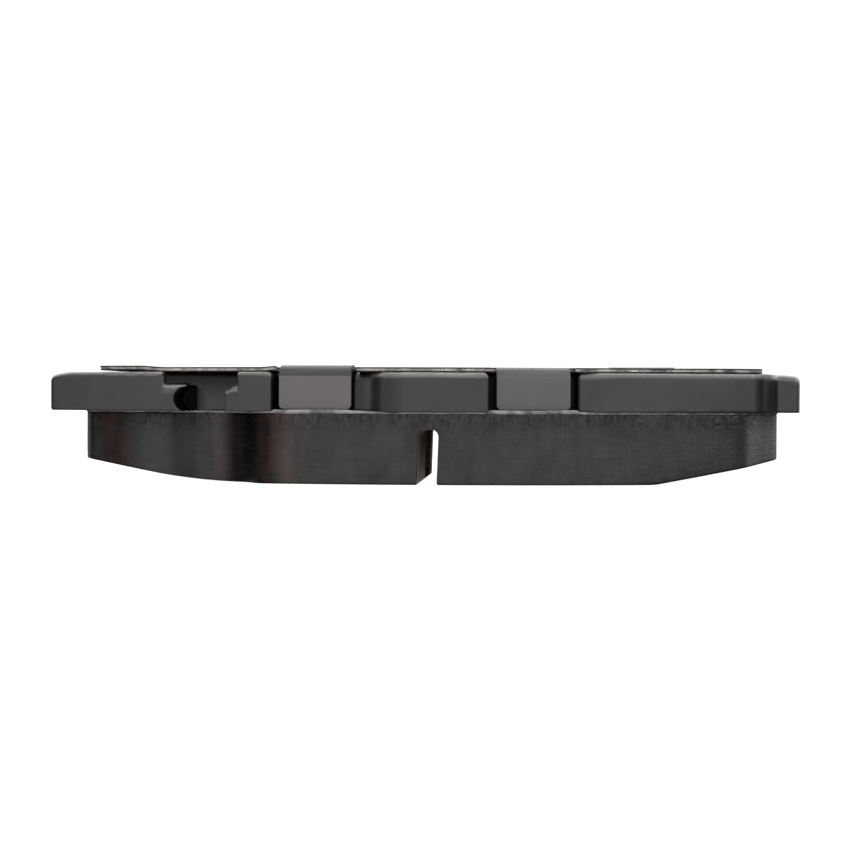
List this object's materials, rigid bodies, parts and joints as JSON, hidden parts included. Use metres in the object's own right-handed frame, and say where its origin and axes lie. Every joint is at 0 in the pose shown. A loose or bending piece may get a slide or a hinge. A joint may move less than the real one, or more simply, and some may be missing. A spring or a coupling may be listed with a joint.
{
  "type": "disc brake pad",
  "caption": "Disc brake pad: eared steel backing plate, bonded slotted friction block with chamfered ends and a clip-on laminated noise shim.",
  "frame": {"origin": "middle of the overall length and width, on the friction face", "axes": "+X along the pad towards the end with the set-back ear, -Y the convex outer edge, +Y towards the disc's axis, +Z from the friction face through the backing plate to the shim"},
  "size_m": [0.1234, 0.053, 0.0191],
  "materials": {
    "coated_plate": "satin black powder coat over fine-blanked steel",
    "adhesive": "cured phenolic bond film",
    "underlayer": "moulded underlayer, painted over at the sides",
    "friction": "moulded friction compound, ground face, painted sides",
    "shim_rubber": "thin matt nitrile rubber coat",
    "shim_steel": "bright sheared steel edge"
  },
  "bodies": {
    "root": {"backing_plate": "coated_plate", "adhesive_layer": "adhesive", "underlayer": "underlayer", "friction_block": "friction", "shim_inner_coat": "shim_rubber", "shim_core": "shim_steel", "shim_outer_coat": "shim_rubber"}
  },
  "joints": []
}
